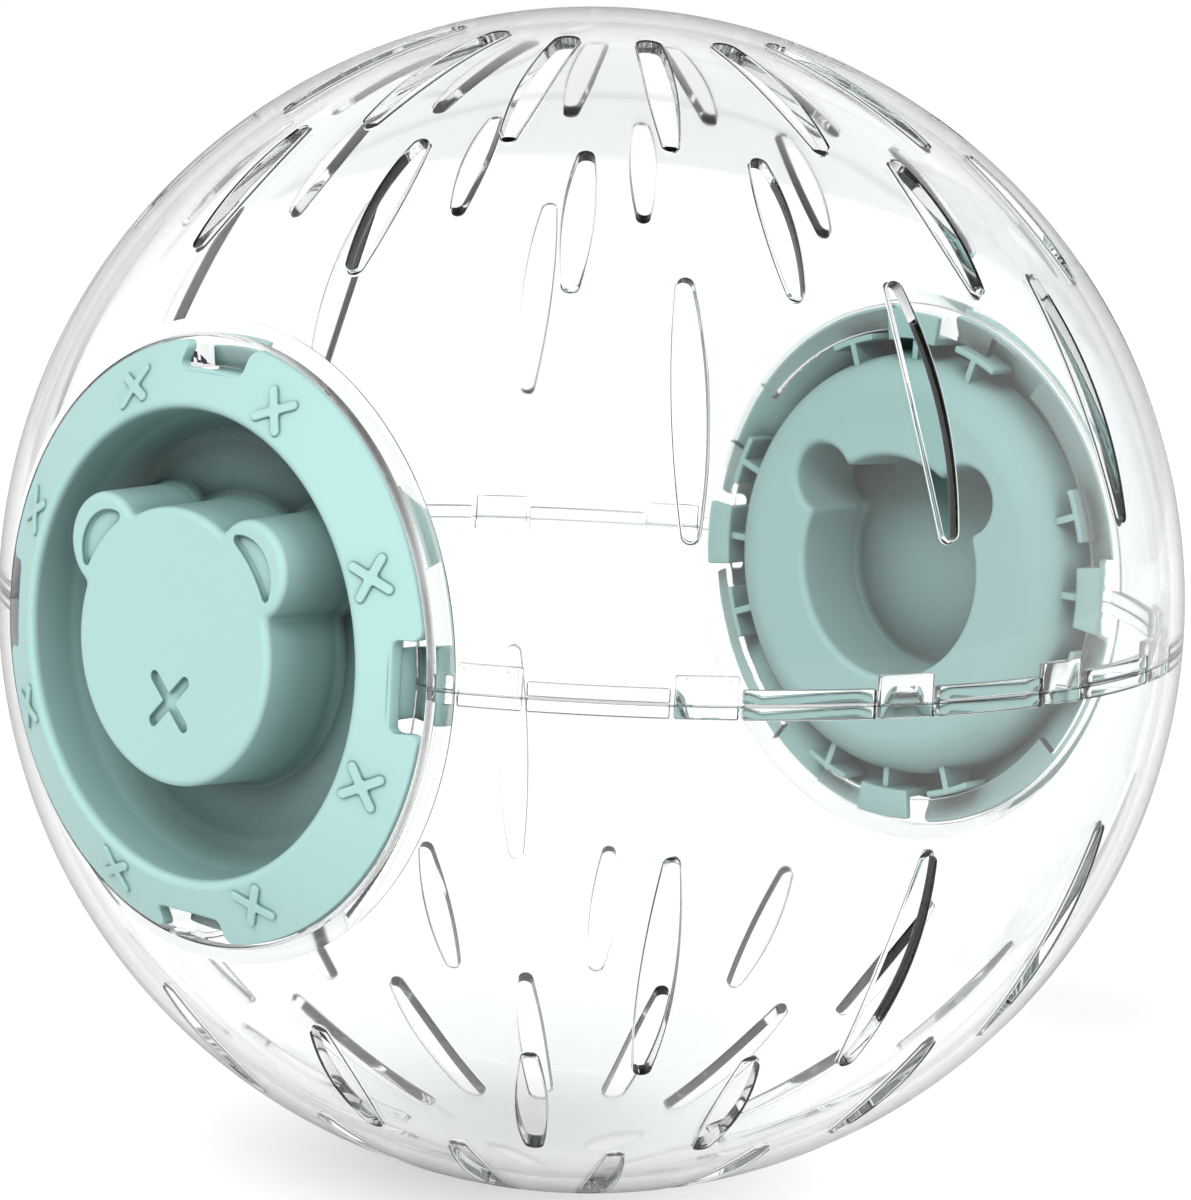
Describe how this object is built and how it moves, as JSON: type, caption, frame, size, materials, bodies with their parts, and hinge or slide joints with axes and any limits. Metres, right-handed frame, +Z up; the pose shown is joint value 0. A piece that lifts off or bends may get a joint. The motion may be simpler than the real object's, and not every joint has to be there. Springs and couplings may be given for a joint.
{
  "type": "hamster exercise ball",
  "caption": "Clear ventilated exercise ball for a hamster: snap-together half shells with a bayonet door at each side, turned by a bear-head grip.",
  "frame": {"origin": "centre of the closed ball, on the seam plane", "axes": "+X out of the right door along the door axis, +Z up, square to the seam, so the doors' bear heads stand upright"},
  "size_m": [0.1772, 0.185, 0.185],
  "materials": {
    "clear_plastic": "clear, polished",
    "mint_plastic": "satin"
  },
  "bodies": {
    "lower_shell": {"lower_shell": "clear_plastic"},
    "upper_shell": {"upper_shell": "clear_plastic"},
    "left_door": {"left_door": "mint_plastic"},
    "right_door": {"right_door": "mint_plastic"}
  },
  "joints": [
    {"name": "upper_shell_lift", "type": "slide", "parent": "lower_shell", "child": "upper_shell", "axis": [0, 0, 1], "range_m": [0, 0.12]},
    {"name": "right_door_turn", "type": "hinge", "parent": "lower_shell", "child": "right_door", "pos_m": [0.078, 0, 0], "axis": [1, 0, 0], "range_deg": [0, 30]},
    {"name": "left_door_turn", "type": "hinge", "parent": "lower_shell", "child": "left_door", "pos_m": [-0.078, 0, 0], "axis": [-1, 0, 0], "range_deg": [0, 30]}
  ]
}
